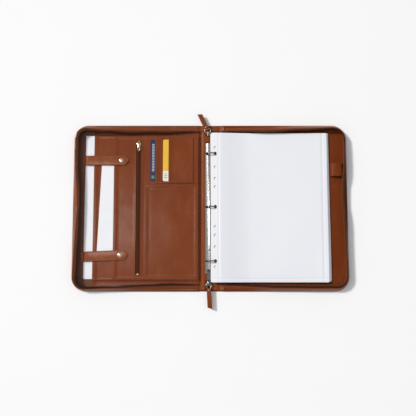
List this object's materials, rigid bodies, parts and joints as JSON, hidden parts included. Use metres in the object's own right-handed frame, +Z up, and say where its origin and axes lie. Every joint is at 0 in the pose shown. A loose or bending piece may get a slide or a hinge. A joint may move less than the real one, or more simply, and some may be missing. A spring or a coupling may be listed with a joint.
{
  "type": "portfolio case",
  "caption": "Zip-around leather portfolio case that folds open flat, with a ring mechanism for punched pockets, document and card pockets, strap tabs and a pen loop.",
  "frame": {"origin": "centre of the spine's underside, on the table, with the case open flat", "axes": "+X towards the back cover and its punched pockets, +Y towards the head of the case, +Z up from the table"},
  "size_m": [0.553, 0.3994, 0.0239],
  "materials": {
    "leather": "smooth tanned hide, satin",
    "lining": "thin lining leather, satin",
    "board": "grey board",
    "zip_fabric": "woven tape",
    "zip_teeth": "nylon coil",
    "steel": "polished nickel plate",
    "dark_steel": "smoked nickel plate",
    "brass": "polished",
    "clear_film": "clear polypropylene film",
    "paper": "uncoated",
    "navy_plastic": "printed card",
    "yellow_plastic": "printed card"
  },
  "bodies": {
    "back_cover": {"back_cover_leather": "leather", "back_cover_board": "board", "back_cover_lining": "lining", "back_zip_wall": "leather", "back_zip_tape": "zip_fabric", "back_zip_teeth": "zip_teeth", "pen_loop": "leather"},
    "spine": {"spine_leather": "leather", "spine_board": "board", "spine_lining": "lining", "zip_tape_tails": "zip_fabric", "zip_end_patches": "leather", "ring_plate": "steel", "plate_rivets": "steel", "lever_pin": "steel"},
    "front_cover": {"front_cover_leather": "leather", "front_cover_board": "board", "front_cover_lining": "lining", "front_zip_wall": "leather", "front_zip_tape": "zip_fabric", "front_zip_teeth": "zip_teeth", "document_pocket": "leather", "document_sheets": "paper", "front_pocket": "leather", "lower_pocket": "leather", "rear_card_pocket": "leather", "front_card_pocket": "leather", "pocket_zip_tape": "zip_fabric", "pocket_zip_teeth": "zip_teeth", "pocket_zip_stops": "brass", "strap_anchors": "leather", "stud_sockets": "brass"},
    "pages": {"sleeve_stack": "clear_film", "stack_inserts": "paper"},
    "top_page": {"top_sleeve": "clear_film", "top_insert": "paper"},
    "lever": {"release_lever": "dark_steel"},
    "right_ring_half": {"right_rings": "steel", "right_blade": "steel"},
    "left_ring_half": {"left_rings": "steel", "left_blade": "steel"},
    "upper_strap": {"upper_strap": "leather", "upper_stud_cap": "brass"},
    "lower_strap": {"lower_strap": "leather", "lower_stud_cap": "brass"},
    "note_sheet": {"note_sheet": "paper"},
    "navy_card": {"navy_card": "navy_plastic"},
    "yellow_card": {"yellow_card": "yellow_plastic"},
    "pocket_slider": {"pocket_zip_slider": "brass"},
    "pocket_pull": {"pocket_zip_pull": "brass"},
    "top_slider": {"top_zip_slider": "steel"},
    "top_ring": {"top_pull_ring": "steel"},
    "top_tab": {"top_pull_tab": "leather", "top_tab_rivet": "steel"},
    "bottom_slider": {"bottom_zip_slider": "steel"},
    "bottom_ring": {"bottom_pull_ring": "steel"},
    "bottom_tab": {"bottom_pull_tab": "leather", "bottom_tab_rivet": "steel"}
  },
  "joints": [
    {"name": "spine_fold", "type": "hinge", "parent": "back_cover", "child": "spine", "pos_m": [0.0185, 0, 0.0008], "axis": [0, 1, 0], "range_deg": [0, 90]},
    {"name": "front_cover_fold", "type": "hinge", "parent": "spine", "child": "front_cover", "pos_m": [-0.0185, 0, 0.0008], "axis": [0, 1, 0], "range_deg": [0, 90]},
    {"name": "pages_level", "type": "hinge", "parent": "spine", "child": "pages", "pos_m": [0, 0, 0.0133], "axis": [0, 1, 0], "range_deg": [-90, 0]},
    {"name": "page_turn", "type": "hinge", "parent": "pages", "child": "top_page", "pos_m": [0, 0, 0.0133], "axis": [0, 1, 0], "range_deg": [-176, 0]},
    {"name": "lever_press", "type": "hinge", "parent": "spine", "child": "lever", "pos_m": [0, -0.129, 0.0063], "axis": [-1, 0, 0], "range_deg": [-12, 0]},
    {"name": "right_rings_open", "type": "hinge", "parent": "spine", "child": "right_ring_half", "pos_m": [0.0086, 0, 0.0044], "axis": [0, 1, 0], "range_deg": [0, 12]},
    {"name": "left_rings_open", "type": "hinge", "parent": "spine", "child": "left_ring_half", "pos_m": [-0.0086, 0, 0.0044], "axis": [0, 1, 0], "range_deg": [-12, 0]},
    {"name": "upper_strap_lift", "type": "hinge", "parent": "front_cover", "child": "upper_strap", "pos_m": [-0.255, 0.0948, 0.0076], "axis": [0, 1, 0], "range_deg": [-120, 0]},
    {"name": "lower_strap_lift", "type": "hinge", "parent": "front_cover", "child": "lower_strap", "pos_m": [-0.255, -0.0995, 0.0076], "axis": [-0.0436, 0.999, 0], "range_deg": [-120, 0]},
    {"name": "note_sheet_slide", "type": "slide", "parent": "front_cover", "child": "note_sheet", "axis": [1, 0, 0], "range_m": [-0.026, 0]},
    {"name": "navy_card_slide", "type": "slide", "parent": "front_cover", "child": "navy_card", "axis": [1, 0, 0], "range_m": [-0.015, 0]},
    {"name": "yellow_card_slide", "type": "slide", "parent": "front_cover", "child": "yellow_card", "axis": [1, 0, 0], "range_m": [-0.04, 0]},
    {"name": "pocket_slider_run", "type": "slide", "parent": "front_cover", "child": "pocket_slider", "axis": [0, 1, 0], "range_m": [-0.24, 0]},
    {"name": "pocket_pull_lift", "type": "hinge", "parent": "pocket_slider", "child": "pocket_pull", "pos_m": [-0.1445, 0.126, 0.0095], "axis": [1, 0, 0], "range_deg": [-150, 0]},
    {"name": "top_slider_run", "type": "slide", "parent": "spine", "child": "top_slider", "axis": [0, 1, 0], "range_m": [0, 0.012]},
    {"name": "top_pull_lift", "type": "hinge", "parent": "top_slider", "child": "top_ring", "pos_m": [-0.003, 0.151, 0.0089], "axis": [-1, 0, 0], "range_deg": [-90, 0]},
    {"name": "top_tab_swing", "type": "hinge", "parent": "top_ring", "child": "top_tab", "pos_m": [-0.00545, 0.15626, 0.0089], "axis": [0, 0, 1], "range_deg": [-65, 15]},
    {"name": "bottom_slider_run", "type": "slide", "parent": "spine", "child": "bottom_slider", "axis": [0, -1, 0], "range_m": [0, 0.012]},
    {"name": "bottom_pull_lift", "type": "hinge", "parent": "bottom_slider", "child": "bottom_ring", "pos_m": [-0.003, -0.1514, 0.0089], "axis": [1, 0, 0], "range_deg": [-90, 0]},
    {"name": "bottom_tab_swing", "type": "hinge", "parent": "bottom_ring", "child": "bottom_tab", "pos_m": [-0.003, -0.1572, 0.0089], "axis": [0, 0, 1], "range_deg": [-43, 37]}
  ],
  "couplings": [
    {"joint": "pages_level", "follows": "spine_fold", "ratio": -1},
    {"joint": "right_rings_open", "follows": "lever_press", "ratio": -1},
    {"joint": "left_rings_open", "follows": "lever_press", "ratio": 1}
  ]
}
